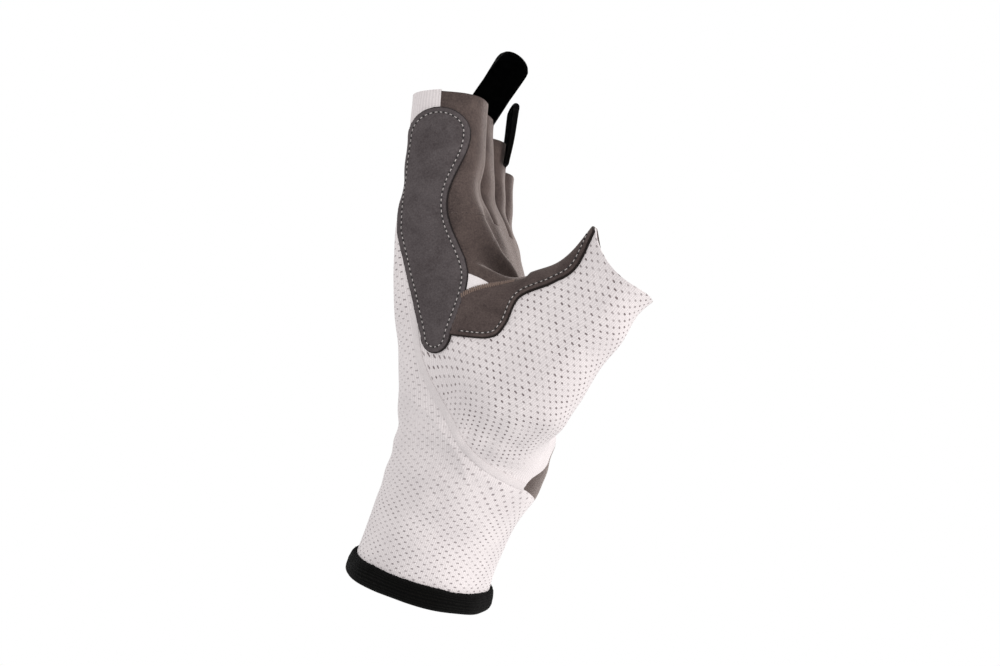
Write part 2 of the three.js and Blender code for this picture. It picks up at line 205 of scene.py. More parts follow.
def bump(p, centre, size):
    """1 at the centre, falling smoothly to 0; size is a radius for each axis."""
    away = (p - np.array(centre, float)) / np.array(size, float)
    return np.exp(-(away ** 2).sum(-1))


def line_pull(p, start, end, reach):
    """1 on the straight line between two points, falling off over the reach around it."""
    start, end = np.array(start, float), np.array(end, float)
    run = end - start
    share = np.clip(((p - start) @ run) / (run @ run), 0, 1)
    away = np.linalg.norm(p - (start + share[..., None] * run), axis=-1)
    return np.exp(-(away / reach) ** 2) * np.sin(math.pi * np.clip(share, 0.02, 0.98)) ** 0.5


# soft rolls of the cloth: height, direction, crest to crest, phase, centre and size of the place
ROLLS = [
    (0.5, (0.15, 0.1, 1), 13, 0.6, (-4, -8, 6), (60, 60, 17)),          # round the wrist
    (0.5, (1, 0, -0.75), 8.5, 0.0, (14, -44, 14), (12, 25, 15)),        # at the root of the thumb
    (0.4, (0.5, 0, 1), 11, 1.3, (26, -40, -8), (22, 30, 12)),           # over its heel
]
# single folds: height (below zero for a hollow), start, end, reach
FOLDS = [
    (0.8, (-22, -22, -11), (16, -33, -10), 2.6),         # across the wrist
    (-0.7, (-24, -20, -17), (14, -33, -16), 3.4),
    (0.6, (-20, -22, 22), (2, -38, 2), 2.4),
    (-2.2, (17, -38, 99), (24, -24, 80), 4.5),           # from the index finger into the web
    (1.3, (12, -47, 100), (20, -40, 80), 6.0),
    (-3.0, (15, -46, 84), (29, -24, 66), 4.2),
    (1.8, (21, -38, 86), (30, -16, 68), 4.5),
    (-1.7, (14.5, -46, 78), (27, -28, 71), 2.6),         # along the web itself
    (1.1, (15, -45, 73.5), (26, -30, 68.5), 2.0),
]
FINGER_HOLLOW = (2.9, (18, -35, 104), (12, 10, 10))      # depth, centre, size


def slack(p):
    """How far the cloth stands off the filled form: soft waves and the folds at the joints."""
    loose = 0.35 * wave(p, (0.2, 0.5, 1), 31) * wave(p, (1, -0.4, 0.3), 43, 1.0)
    loose += 0.22 * wave(p, (-0.6, 0.3, 1), 17, 2.0) * wave(p, (1, 0.5, -0.2), 24)
    for height, direction, length, phase, centre, size in ROLLS:
        loose += height * wave(p, direction, length, phase) * bump(p, centre, size)
    for height, start, end, reach in FOLDS:
        loose += height * line_pull(p, start, end, reach)
    depth, centre, size = FINGER_HOLLOW
    return loose - depth * bump(p, centre, size)


def body_field(p):
    """Below zero inside the glove up to the fingers."""
    return joined(palm_field(p), thumb_field(p), THUMB_FILLET) - slack(p)


# ------------------------------------------------------------------ cloth: points, triangles, normals
class Cloth:
    """A triangle sheet. v points, f triangles, n outward normals and w weave coordinates (mm)."""

    def __init__(self, v, f, n, w=None):
        self.v, self.f, self.n = v, f, n
        self.w = np.zeros((len(v), 2)) if w is None else w

    def part(self, keep):
        """The triangles that are kept, with only the points they use."""
        faces = self.f[keep]
        used, index = np.unique(faces, return_inverse=True)
        return Cloth(self.v[used], index.reshape(-1, 3), self.n[used], self.w[used])


def unit(rows, least=0.0):
    """Rows scaled to length 1."""
    return rows / np.maximum(np.linalg.norm(rows, axis=1), least)[:, None]


def slopes(field, p, reach=0.05):
    """The way in which a field grows at each point."""
    out = np.empty_like(p)
    for axis in range(3):
        step = np.zeros(3)
        step[axis] = reach
        out[:, axis] = (field(p + step) - field(p - step)) / (2 * reach)
    return out


def settle(field, p, rounds=4):
    """Moves points onto field = 0 and returns them with their outward normals."""
    for _ in range(rounds):
        slope = slopes(field, p)
        p = p - (field(p) / np.maximum((slope ** 2).sum(1), 1e-6))[:, None] * slope
    return p, unit(slopes(field, p), 1e-9)


def surface_of(field, low, high, step):
    """A triangle sheet on field = 0, by surface nets on a grid."""
    axes = [np.arange(a, b + step, step) for a, b in zip(low, high)]
    grid = np.stack(np.meshgrid(*axes, indexing="ij"), -1)
    inside = field(grid) < 0
    corners = sum(
        inside[i:len(axes[0]) - 1 + i, j:len(axes[1]) - 1 + j, k:len(axes[2]) - 1 + k].astype(int)
        for i in (0, 1) for j in (0, 1) for k in (0, 1)
    )
    cells = (corners > 0) & (corners < 8)
    number = np.full(cells.shape, -1)
    number[cells] = np.arange(cells.sum())
    points = np.argwhere(cells) * step + np.array(low) + step / 2
    quads = []
    for axis in range(3):
        u, w = (axis + 1) % 3, (axis + 2) % 3
        here = np.moveaxis(inside, (axis, u, w), (0, 1, 2))
        cell = np.moveaxis(number, (axis, u, w), (0, 1, 2))
        first, second = here[:-1, 1:-1, 1:-1], here[1:, 1:-1, 1:-1]
        for turn, changed in ((1, first & ~second), (-1, ~first & second)):
            i, j, k = np.nonzero(changed)
            ring = [cell[i, j, k], cell[i, j + 1, k], cell[i, j + 1, k + 1], cell[i, j, k + 1]]
            quads.append(np.stack(ring[::turn], 1))
    quads = np.concatenate(quads)
    quads = quads[(quads >= 0).all(1)]
    faces = np.concatenate([quads[:, [0, 1, 2]], quads[:, [0, 2, 3]]])
    points, normals = settle(field, points.astype(float))
    return Cloth(points, faces, normals)


def sides_of(faces):
    """The three sides of each triangle, as pairs of points in the triangle's direction."""
    return np.concatenate([faces[:, [0, 1]], faces[:, [1, 2]], faces[:, [2, 0]]])


def finer(cloth, field):
    """Splits each triangle into four and settles all points on the field."""
    edges, index = np.unique(np.sort(sides_of(cloth.f), 1), axis=0, return_inverse=True)
    ab, bc, ca = index.reshape(3, -1) + len(cloth.v)
    a, b, c = cloth.f.T
    four = (a, ab, ca), (ab, b, bc), (ca, bc, c), (ab, bc, ca)
    faces = np.concatenate([np.stack(corners, 1) for corners in four])
    points, weave = (np.concatenate([rows, rows[edges].mean(1)]) for rows in (cloth.v, cloth.w))
    points, normals = settle(field, points, 2)
    return Cloth(points, faces, unit(normals), weave)


def cut(cloth, g):
    """Cuts the sheet along g = 0. Returns the part below zero and the part above; they share the edge.

    A point close to the cut is moved on to it, so that no sliver is left."""
    g = g.copy()
    v, n, w = cloth.v.copy(), cloth.n.copy(), cloth.w.copy()
    sides = np.unique(np.sort(sides_of(cloth.f), 1), axis=0)
    crossing = sides[g[sides[:, 0]] * g[sides[:, 1]] < 0]
    share = g[crossing[:, 0]] / (g[crossing[:, 0]] - g[crossing[:, 1]])
    for near, far, t in ((0, 1, share), (1, 0, 1 - share)):
        close = t < 0.25
        a, b, t = crossing[close, near], crossing[close, far], t[close][:, None]
        for values in (v, n, w):
            values[a] = values[a] + t * (values[b] - values[a])
        g[a] = 0
    sign = np.sign(g).astype(int)
    corner = sign[cloth.f]
    mixed = (corner.min(1) < 0) & (corner.max(1) > 0)
    below = [cloth.f[~mixed & (corner.sum(1) < 0)]]
    above = [cloth.f[~mixed & (corner.sum(1) >= 0)]]
    made, extra = {}, []

    def between(a, b):
        key = (min(a, b), max(a, b))
        if key not in made:
            made[key] = len(v) + len(extra)
            extra.append((key[0], key[1], g[key[0]] / (g[key[0]] - g[key[1]])))
        return made[key]

    lists = {-1: [], 1: []}
    for face in cloth.f[mixed]:
        signs = sign[face]
        if 0 in signs:
            k = int(np.argmin(np.abs(signs)))
            a, b, c = np.roll(face, -k)
            m = between(b, c)
            lists[sign[b]].append((a, b, m))
            lists[sign[c]].append((a, m, c))
            continue
        k = int(np.argmax(signs * -np.sign(signs.sum())))
        a, b, c = np.roll(face, -k)
        p, q = between(a, b), between(a, c)
        lists[sign[a]].append((a, p, q))
        lists[sign[b]] += [(p, b, c), (p, c, q)]
    if extra:
        pair = np.array([(a, b) for a, b, _ in extra])
        t = np.array([t for _, _, t in extra])[:, None]
        v, n, w = (np.concatenate([x, x[pair[:, 0]] * (1 - t) + x[pair[:, 1]] * t]) for x in (v, n, w))
    whole = Cloth(v, None, unit(n), w)
    parts = []
    for blocks, added in ((below, lists[-1]), (above, lists[1])):
        whole.f = np.concatenate(blocks + ([np.array(added)] if added else []))
        parts.append(whole.part(slice(None)))
    return parts


def smooth_line(points, closed, count=160):
    """A smooth curve through given points (Catmull-Rom), evenly spaced."""
    points = np.array(points, float)
    if closed:
        rows = np.vstack([points[-1], points, points[:2]])
    else:
        rows = np.vstack([2 * points[0] - points[1], points, 2 * points[-1] - points[-2]])
    t = np.linspace(0, 1, 12, endpoint=False)[:, None]
    curve = []
    for a, b, c, d in zip(rows, rows[1:], rows[2:], rows[3:]):
        curve.append(0.5 * (2 * b + (c - a) * t + (2 * a - 5 * b + 4 * c - d) * t ** 2
                            + (3 * b - a - 3 * c + d) * t ** 3))
    curve = np.vstack(curve + [points[:1] if closed else points[-1:]])
    run = np.concatenate([[0], np.cumsum(np.linalg.norm(np.diff(curve, axis=0), axis=1))])
    even = np.linspace(0, run[-1], count)
    return np.stack([np.interp(even, run, column) for column in curve.T], 1)


def outline_distance(points, outline):
    """Distance in the plane from a closed outline, negative inside."""
    a, b = outline[:-1], outline[1:]
    nearest = np.full(len(points), 1e9)
    inside = np.zeros(len(points), bool)
    for p, q in zip(a, b):
        run = q - p
        share = np.clip(((points - p) @ run) / max(run @ run, 1e-12), 0, 1)
        nearest = np.minimum(nearest, ((points - p - share[:, None] * run) ** 2).sum(1))
        straddles = (p[1] > points[:, 1]) != (q[1] > points[:, 1])
        if straddles.any():
            side = (points[:, 0] - p[0]) * (q[1] - p[1]) - (points[:, 1] - p[1]) * (q[0] - p[0])
            inside ^= straddles & ((side < 0) == (q[1] > p[1]))
    return np.sqrt(nearest) * np.where(inside, -1, 1)


def rim_edges(faces):
    """Edges used by one triangle only, in that triangle's direction."""
    sides = sides_of(faces)
    _, first, count = np.unique(np.sort(sides, 1), axis=0, return_index=True, return_counts=True)
    return sides[first[count == 1]]


def rim_distance(cloth):
    """Distance of each point from the sheet's own cut edge."""
    rim = cloth.v[np.unique(rim_edges(cloth.f))]
    near = np.full(len(cloth.v), 1e9)
    for block in np.array_split(np.arange(len(cloth.v)), max(1, len(cloth.v) // 2000)):
        near[block] = np.sqrt(((cloth.v[block, None] - rim[None]) ** 2).sum(2).min(1))
    return near


# ------------------------------------------------------------------ pieces
def new_object(name, points, faces, material, weave):
    """A piece from points in the hand frame; weave holds each point's weave coordinates."""
    mesh = bpy.data.meshes.new(name)
    mesh.from_pydata(to_row(points).tolist(), [], [list(map(int, face)) for face in faces])
    mesh.update()
    layer = mesh.uv_layers.new(name="weave")
    loops = np.zeros(len(mesh.loops), int)
    mesh.loops.foreach_get("vertex_index", loops)
    corners = weave[loops]
    if len(loops) == 3 * len(mesh.polygons):
        around = corners.reshape(-1, 3, 2)[..., 0]
        around += WRAP * (around < around.max(1, keepdims=True) - WRAP / 2)
    layer.uv.foreach_set("vector", corners.astype(np.float32).ravel())
    mesh.materials.append(material)
    mesh.shade_smooth()
    mesh.set_sharp_from_angle(angle=CREASE_ANGLE)
    piece = bpy.data.objects.new(name, mesh)
    bpy.context.scene.collection.objects.link(piece)
    return piece


def shell(name, cloth, outward, inward, material, extra=None):
    """A sheet with thickness, from `inward` inside the cloth's surface to `outward` outside it.

    extra adds to the outside, point by point."""
    count = len(cloth.v)
    lift = outward if extra is None else outward + extra
    outer = cloth.v + cloth.n * np.broadcast_to(lift, count)[:, None]
    inner = cloth.v - cloth.n * inward
    a, b = rim_edges(cloth.f).T
    faces = np.concatenate([
        cloth.f, cloth.f[:, ::-1] + count,
        np.stack([b, a, a + count], 1), np.stack([b, a + count, b + count], 1),
    ])
    weave = np.concatenate([cloth.w, cloth.w])
    points = np.concatenate([outer, inner])
    piece = new_object(name, points, faces, material, weave)
    if extra is None:
        smooth = np.concatenate([cloth.n, -cloth.n])[faces]
        first, second, third = (points[faces[:, k]] for k in range(3))
        wall = unit(np.cross(second - first, third - first), 1e-9)
        smooth[2 * len(cloth.f):] = wall[2 * len(cloth.f):, None]
        piece.data.normals_split_custom_set((smooth.reshape(-1, 3) @ hand_turn.T).tolist())
    return piece


def across(piece, body_a, body_b, start, end):
    """Bakes the piece's placement into its points. body_a, body_b, start and end (the last two points of the
    hand frame) are not used.
    """
    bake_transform(piece)
    return piece


# a start and an end point at each joint, passed to across(); the thumb's pair also sets where the thumb's
# cloth and suede are cut in two
WRIST_BEND = ((0, 0, -20), (0, 0, 8))
THUMB_BEND = ((46.0, 0, 13.4), (67.1, 0, 19.6))
FINGER_BEND = ((0, 0, 95), (0, 0, 113.5))


# ------------------------------------------------------------------ materials
def paint(hex_colour):
    """An sRGB hex colour as linear RGBA."""
    channels = [int(hex_colour[i:i + 2], 16) / 255 for i in (1, 3, 5)]
    linear = [c / 12.92 if c <= 0.04045 else ((c + 0.055) / 1.055) ** 2.4 for c in channels]
    return (*linear, 1.0)


def add(tree, kind, inputs=(), **settings):
    """Adds a node. inputs maps a socket to a value or to the output that feeds it."""
    made = tree.nodes.new(kind)
    for key, value in settings.items():
        setattr(made, key, value)
    for key, value in dict(inputs).items():
        if isinstance(value, bpy.types.NodeSocket):
            tree.links.new(value, made.inputs[key])
        else:
            made.inputs[key].default_value = value
    return made


def new_material(name):
    material = bpy.data.materials.new(name)
    material.use_nodes = True
    material.node_tree.nodes.clear()
    return material, material.node_tree


def finish_material(tree, colour, bump_height, bump_mm, roughness, **surface):
    """Closes a material with a bump and one principled surface."""
    bumped = add(tree, "ShaderNodeBump",
                 {"Height": bump_height, "Distance": bump_mm * MM, "Strength": 1.0})
    inputs = {"Base Color": colour, "Roughness": roughness, "Normal": bumped.outputs[0]}
    inputs.update({key.replace("_", " "): value for key, value in surface.items()})
    shader = add(tree, "ShaderNodeBsdfPrincipled", inputs)
    add(tree, "ShaderNodeOutputMaterial", {"Surface": shader.outputs[0]})


WALE, RIB = 5.0, 1.0             # mm between slots along a row, and between the fine ribs
BAND = 0.31                      # a wave texture's scale for one band in each millimetre


def athletic_mesh(name, slot_dark, slot_wide, slot_tall, course):
    """Warp-knitted polyester mesh: fine ribs, and rows of small slots, each row half a step on.

    course is the distance between rows. The slots show as short dark dashes, weaker where the
    cloth is slack and closed where it lies double."""
    material, tree = new_material(name)
    weave = add(tree, "ShaderNodeUVMap", uv_map="weave").outputs[0]
    # the rows wander a little, about every 2 mm
    tug = add(tree, "ShaderNodeTexNoise", {"Vector": weave, "Scale": 0.45, "Detail": 2.0})
    centred_tug = add(tree, "ShaderNodeVectorMath", {0: tug.outputs["Color"], 1: (0.5, 0.5, 0.5)},
                      operation="SUBTRACT")
    uneven = add(tree, "ShaderNodeVectorMath", {0: centred_tug.outputs[0], 1: (0.9, 0.5, 0.0), 2: weave},
                 operation="MULTIPLY_ADD")
    split = add(tree, "ShaderNodeSeparateXYZ", {0: uneven.outputs[0]})
    row = add(tree, "ShaderNodeMath", {0: split.outputs[1], 1: course}, operation="DIVIDE")
    row_number = add(tree, "ShaderNodeMath", {0: row.outputs[0]}, operation="FLOOR")
    odd = add(tree, "ShaderNodeMath", {0: row_number.outputs[0], 1: 2.0}, operation="FLOORED_MODULO")
    column = add(tree, "ShaderNodeMath", {0: split.outputs[0], 1: WALE}, operation="DIVIDE")
    shifted = add(tree, "ShaderNodeMath", {0: odd.outputs[0], 1: 0.5, 2: column.outputs[0]},
                  operation="MULTIPLY_ADD")
    reach = []
    for value, pitch, half in ((shifted, WALE, slot_wide / 2), (row, course, slot_tall / 2)):
        part = add(tree, "ShaderNodeMath", {0: value.outputs[0]}, operation="FRACT")
        centred = add(tree, "ShaderNodeMath", {0: part.outputs[0], 1: 0.5}, operation="SUBTRACT")
        size = add(tree, "ShaderNodeMath", {0: centred.outputs[0]}, operation="ABSOLUTE")
        scaled = add(tree, "ShaderNodeMath", {0: size.outputs[0], 1: pitch / half}, operation="MULTIPLY")
        reach.append(add(tree, "ShaderNodeMath", {0: scaled.outputs[0], 1: 3.0}, operation="POWER"))
    edge = add(tree, "ShaderNodeMath", {0: reach[0].outputs[0], 1: reach[1].outputs[0]}, operation="ADD")
    slot_mask = add(tree, "ShaderNodeMapRange", {0: edge.outputs[0], 1: 0.7, 2: 1.6, 3: 1.0, 4: 0.0})
    closed = add(tree, "ShaderNodeAttribute", attribute_name="dense")
    opened = add(tree, "ShaderNodeMath", {0: 1.0, 1: closed.outputs["Fac"]}, operation="SUBTRACT")
    # slack and pulled places, about 9 mm across
    wear = add(tree, "ShaderNodeTexNoise", {"Vector": weave, "Scale": 0.11, "Detail": 2.0})
    pulled = add(tree, "ShaderNodeMapRange", {0: wear.outputs[0], 1: 0.35, 2: 0.6, 3: 0.35, 4: 1.0})
    here = add(tree, "ShaderNodeMath", {0: pulled.outputs[0], 1: opened.outputs[0]}, operation="MULTIPLY")
    hole = add(tree, "ShaderNodeMath", {0: slot_mask.outputs[0], 1: here.outputs[0]},
               operation="MULTIPLY").outputs[0]
    ribs = add(tree, "ShaderNodeTexWave", {"Vector": weave, "Scale": BAND / RIB, "Distortion": 0.4,
                                           "Detail": 1.0, "Detail Scale": 2.0},
               wave_type="BANDS", bands_direction="X").outputs[0]
    rest = add(tree, "ShaderNodeAttribute", attribute_name="rest_mm",
               attribute_type="GEOMETRY").outputs["Vector"]
    # faint soiling about 17 mm across, and yarn grain of 0.5 mm
    clouds = add(tree, "ShaderNodeTexNoise", {"Vector": rest, "Scale": 0.06, "Detail": 3.0})
    grain = add(tree, "ShaderNodeTexNoise", {"Vector": rest, "Scale": 2.2, "Detail": 2.0})
    cloth = add(tree, "ShaderNodeMix", {0: clouds.outputs[0], 6: paint("#c6bfc0"), 7: paint("#e0d9d9")},
                data_type="RGBA")
    ribbed = add(tree, "ShaderNodeMix", {0: 0.14, 6: cloth.outputs[2], 7: ribs},
                 data_type="RGBA", blend_type="MULTIPLY")
    colour = add(tree, "ShaderNodeMix", {0: hole, 6: ribbed.outputs[2], 7: paint(slot_dark)},
                 data_type="RGBA")
    height = add(tree, "ShaderNodeMath", {0: ribs, 1: 0.18, 2: grain.outputs[0]}, operation="MULTIPLY_ADD")
    sunk = add(tree, "ShaderNodeMath", {0: hole, 1: -1.4, 2: height.outputs[0]}, operation="MULTIPLY_ADD")
    finish_material(tree, colour.outputs[2], sunk.outputs[0], 0.25, 0.8,
                    Sheen_Weight=0.15, Sheen_Roughness=0.5, Specular_IOR_Level=0.3)
    return material


def suede(name, dark, light, cut_edge, nap, sheen):
    """Synthetic suede: a matt short nap, brushed lighter and darker in soft patches.

    The sheen gives it a pale bloom at the turning edge; a raw cut edge is darker."""
    material, tree = new_material(name)
    rest = add(tree, "ShaderNodeAttribute", attribute_name="rest_mm",
               attribute_type="GEOMETRY").outputs["Vector"]
    # brushed patches about 11 mm across, and fibres of 0.7 mm, drawn coarse enough to show
    patches = add(tree, "ShaderNodeTexNoise", {"Vector": rest, "Scale": 0.09, "Detail": 4.0,
                                               "Roughness": 0.6, "Distortion": 0.6})
    fibres = add(tree, "ShaderNodeTexNoise", {"Vector": rest, "Scale": 1.4, "Detail": 5.0, "Roughness": 0.8})
    mixed = add(tree, "ShaderNodeMath", {0: fibres.outputs[0], 1: 1.6, 2: patches.outputs[0]},
                operation="MULTIPLY_ADD")
    share = add(tree, "ShaderNodeMapRange", {0: mixed.outputs[0], 1: 0.95, 2: 1.65, 3: 0.0, 4: 1.0})
    body = add(tree, "ShaderNodeMix", {0: share.outputs[0], 6: paint(dark), 7: paint(light)},
               data_type="RGBA")
    # the raw edge is the last 0.3 to 0.8 mm
    edge = add(tree, "ShaderNodeAttribute", attribute_name="edge_mm", attribute_type="GEOMETRY")
    near = add(tree, "ShaderNodeMapRange", {0: edge.outputs["Fac"], 1: 0.3, 2: 0.8, 3: 1.0, 4: 0.0})
    colour = add(tree, "ShaderNodeMix", {0: near.outputs[0], 6: body.outputs[2], 7: paint(cut_edge)},
                 data_type="RGBA")
    finish_material(tree, colour.outputs[2], fibres.outputs[0], nap, 0.95, Sheen_Weight=sheen,
                    Sheen_Roughness=0.35, Sheen_Tint=paint("#f0e2dc"), Specular_IOR_Level=0.12)
    return material


def woven_black(name, dark, light, scale_x, scale_y, relief):
    """Black yarn, crossed: close to plain black, with the yarn seen only as a faint relief."""
    material, tree = new_material(name)
    weave = add(tree, "ShaderNodeUVMap", uv_map="weave").outputs[0]
    along = add(tree, "ShaderNodeTexWave",
                {"Vector": weave, "Scale": scale_x, "Distortion": 1.2, "Detail": 2.0},
                bands_direction="X")
    cross = add(tree, "ShaderNodeTexWave",
                {"Vector": weave, "Scale": scale_y, "Distortion": 1.2, "Detail": 2.0},
                bands_direction="Y")
    yarn = add(tree, "ShaderNodeMath", {0: along.outputs[0], 1: cross.outputs[0]}, operation="MULTIPLY")
    # loose fibres, 0.6 mm
    rest = add(tree, "ShaderNodeAttribute", attribute_name="rest_mm", attribute_type="GEOMETRY")
    fuzz = add(tree, "ShaderNodeTexNoise", {"Vector": rest.outputs["Vector"], "Scale": 1.6, "Detail": 5.0})
    height = add(tree, "ShaderNodeMath", {0: fuzz.outputs[0], 1: 0.8, 2: yarn.outputs[0]},
                 operation="MULTIPLY_ADD").outputs[0]
    share = add(tree, "ShaderNodeMapRange", {0: height, 1: 0.5, 2: 1.5, 3: 0.0, 4: 1.0})
    colour = add(tree, "ShaderNodeMix", {0: share.outputs[0], 6: paint(dark), 7: paint(light)},
                 data_type="RGBA")
    finish_material(tree, colour.outputs[2], height, relief, 0.9,
                    Sheen_Weight=0.02, Sheen_Roughness=0.4, Specular_IOR_Level=0.08)
    return material


def plain_yarn(name, dark, light):
    """Twisted sewing thread or fine knit: small light and dark turns, 0.3 mm each."""
    material, tree = new_material(name)
    rest = add(tree, "ShaderNodeAttribute", attribute_name="rest_mm", attribute_type="GEOMETRY")
    turns = add(tree, "ShaderNodeTexNoise", {"Vector": rest.outputs["Vector"], "Scale": 3.5, "Detail": 3.0})
    colour = add(tree, "ShaderNodeMix", {0: turns.outputs[0], 6: paint(dark), 7: paint(light)},
                 data_type="RGBA")
    finish_material(tree, colour.outputs[2], turns.outputs[0], 0.12, 0.7,
                    Sheen_Weight=0.1, Specular_IOR_Level=0.3)
    return material


# Off-white open knit: slots 1.2 mm wide in rows 1.4 mm apart, soft grey rather than black.
white_mesh = athletic_mesh("white athletic mesh", "#8b8083", 1.2, 0.46, 1.4)
# The same cloth pulled over the thumb: its slots stand further open and look darker.
thumb_mesh = athletic_mesh("white athletic mesh, stretched", "#75686a", 1.2, 0.6, 1.6)
# The palm: warm grey-brown, worn to a light bloom.
palm_suede = suede("warm grey synthetic suede", "#352d2c", "#594d49", "#3a3130", 0.16, 0.8)
# The index patch: cooler and plainer, with a dark cut edge.
patch_suede = suede("dark grey synthetic suede", "#3c3637", "#585253", "#1c1818", 0.13, 0.1)
# The web strip: between the two in hue, with the same dark edge.
strip_suede = suede("dark brown-grey synthetic suede", "#382f2e", "#574c49", "#1c1716", 0.16, 0.2)
# Topstitching, seen as a pale dashed line on the dark suede.
thread_light = plain_yarn("light grey polyester thread", "#8d8684", "#c6c1bf")
# The oversewn edge of the web, a close brown ridge.
thread_brown = plain_yarn("brown overlock thread", "#3a2f2c", "#8a7468")
# The small knitted triangle in the web, smoother and whiter than the mesh.
white_knit = plain_yarn("white stretch knit", "#cbc4c4", "#dfd9d9")
# Shadowed holes between stitches.
needle_dark = plain_yarn("needle holes", "#1a1718", "#262122")
# The wrist binding: brushed, so it drinks the light; loops about 0.6 mm across.
cuff_knit = woven_black("black brushed knit", "#010101", "#100e0b", 0.5, 0.6, 0.35)
# The pull tabs: flat webbing with yarns of 0.35 mm.
webbing = woven_black("black woven webbing", "#010101", "#0f0b09", 0.9, 0.9, 0.2)


# ------------------------------------------------------------------ attributes that the materials read
def note(piece, name, values, kind="FLOAT"):
    """Writes one value or vector for each point of a piece."""
    attribute = piece.data.attributes.new(name, kind, "POINT")
    key = "vector" if kind == "FLOAT_VECTOR" else "value"
    attribute.data.foreach_set(key, np.asarray(values, np.float32).ravel())


def note_rest(piece):
    """Where each point is at rest, in millimetres, so that patterns stay on the cloth as it bends."""
    points = np.zeros(len(piece.data.vertices) * 3, np.float32)
    piece.data.vertices.foreach_get("co", points)
    note(piece, "rest_mm", points / MM, "FLOAT_VECTOR")


def sleeve_weave(p):
    """Weave coordinates of the sleeve and back: the run around from the back, and the height along."""
    mid_x, mid_y = palm_at(p[:, 2])[:2]
    around = np.arctan2(p[:, 1] - mid_y, mid_x - p[:, 0]) * WRAP / (2 * math.pi)
    share = eased(np.clip(-p[:, 2] / 25, 0, 1))
    height = p[:, 2] * (1 - share) + (row_height(p) - wrist[2]) * share
    return np.stack([around, height], 1)


def thumb_weave(p):
    """Weave coordinates of the thumb panel, whose wales run along the thumb."""
    q = to_thumb(p)
    mid_x, mid_y, width, thickness = thumb_at(np.maximum(q[:, 2], 4.0))
    angle = np.arctan2((q[:, 0] - mid_x) / width, -(q[:, 1] - mid_y) / thickness)
    return np.stack([angle * width, q[:, 2]], 1)


# ------------------------------------------------------------------ the body of the glove
body = finer(surface_of(body_field, (-60, -58, -66), (96, 58, 102), BODY_GRID), body_field)
in_row = body.v @ hand_turn.T + wrist
cuff_half = 32
_, body = cut(body, in_row[:, 2] - 4.0 + RIM_DIP * (1 + in_row[:, 0] / cuff_half))
body, _ = cut(body, body.v[:, 2] - PALM_TOP)
at_top = np.abs(body.v[:, 2] - PALM_TOP) < 1e-6
for _ in range(3):
    slope = slopes(body_field, body.v[at_top]) * (1, 1, 0)
    body.v[at_top] -= (body_field(body.v[at_top]) / (slope ** 2).sum(1))[:, None] * slope

# The thumb's rim is hollowed across, stands up at its corners and slants to the palm side.
rim_hollow, rim_half, rim_slant = 5.0, 18.2, 0.12
across_thumb = to_thumb(body.v)
thumb_rim = THUMB_END - rim_hollow * (1 - np.clip(across_thumb[:, 0] / rim_half, -1.3, 1.3) ** 2)
thumb_rim -= rim_slant * np.clip(across_thumb[:, 1] + 16, 0, 30)
body, _ = cut(body, across_thumb[:, 2] - thumb_rim)

# Where the white cloth ends: along the index finger, over the web and down the thumb's upper edge,
# and round the heel of the thumb to the wrist.
web_line = smooth_line([(SIDE_SEAM, 130), (SIDE_SEAM, 96), (SIDE_SEAM, 74), (-2, 60), (8, 55), (22, 55),
                        (33, 63), (44, 70), (57, 80), (74, 104)], closed=False)
suede_outline = np.vstack([web_line, (160, 120), (160, 200), (SIDE_SEAM, 200), web_line[:1]])
in_web = -outline_distance(body.v[:, [0, 2]], suede_outline)
thumb_edge = smooth_line([(-60, -30), (-36, -20), (-28.8, -14), (-21, -8), (-11, 8), (-3, 10), (14, -10),
                          (30, -27), (62, -36), (80, -38)], closed=False)
inner_edge = np.interp(to_thumb(body.v)[:, 2], *thumb_edge.T)
heel_height, heel_slope, heel_curve = -14.6, 0.15, 0.003
heel_line = heel_height - heel_slope * body.v[:, 1] + heel_curve * body.v[:, 1] ** 2
outer_seam = np.interp(body.v[:, 2], (5, 70), (2, SIDE_SEAM))
in_palm = np.minimum.reduce([
    body.v[:, 1] - inner_edge, body.v[:, 0] - outer_seam, body.v[:, 2] - heel_line,
])
white, grey = cut(body, np.maximum(in_web, in_palm))

# The diagonal seam leaves the index patch straight down, turns across the wrist and flattens out.
diagonal = smooth_line([(-9, 80), (-8, 40), (4, 16), (18, -4), (52, -21)], closed=False)
back_outline = np.vstack([(-9, 200), diagonal, (60, -200), (-200, -200), (-200, 200), (-9, 200)])
back, thumb_cloth = cut(white, outline_distance(white.v[:, [0, 2]], back_outline))


def past_hinge(p):
    """Above zero on the part of the thumb that swings."""
    start, end = np.array(THUMB_BEND)
    return (p - start) @ (end - start) / np.linalg.norm(end - start)


back.w = sleeve_weave(back.v)
thumb_cloth.w = thumb_weave(thumb_cloth.v)
thumb_base, thumb_end = cut(thumb_cloth, past_hinge(thumb_cloth.v))
palm, thumb_palm = cut(grey, past_hinge(grey.v))


def white_piece(name, cloth, material, bodies, bend, *nodes):
    """Knitted mesh; its slots close beside the seam and where the cloth is stretched tight or slack."""
    piece = shell(name, cloth, 0.0, MESH_CLOTH, material)
    side = np.abs(outline_distance(cloth.v[:, [0, 2]], back_outline))
    dense = np.clip(1.25 - side / 2.6, 0, 1) * (cloth.v[:, 1] < 0)
    if material is white_mesh:
        dense = np.maximum(dense, 0.55 * bump(cloth.v, (-14, -30, 14), (40, 30, 30)))
    if material is thumb_mesh:
        dense = np.maximum(dense, np.clip((to_thumb(cloth.v)[:, 1] - 2) / 9, 0, 1))
    note(piece, "dense", np.concatenate([dense, dense]))
    note_rest(piece)
    across(piece, *bodies, *bend)
    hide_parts(*nodes)


def grey_piece(name, cloth, bodies, bend, *nodes, edge=None):
    """Suede; edge is each point's distance from a raw cut edge."""
    piece = shell(name, cloth, 0.0, SUEDE_CLOTH, palm_suede)
    edge = np.full(len(cloth.v), 9.0) if edge is None else edge
    note(piece, "edge_mm", np.concatenate([edge, edge]))
    note_rest(piece)
    across(piece, *bodies, *bend)
    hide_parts(*nodes)


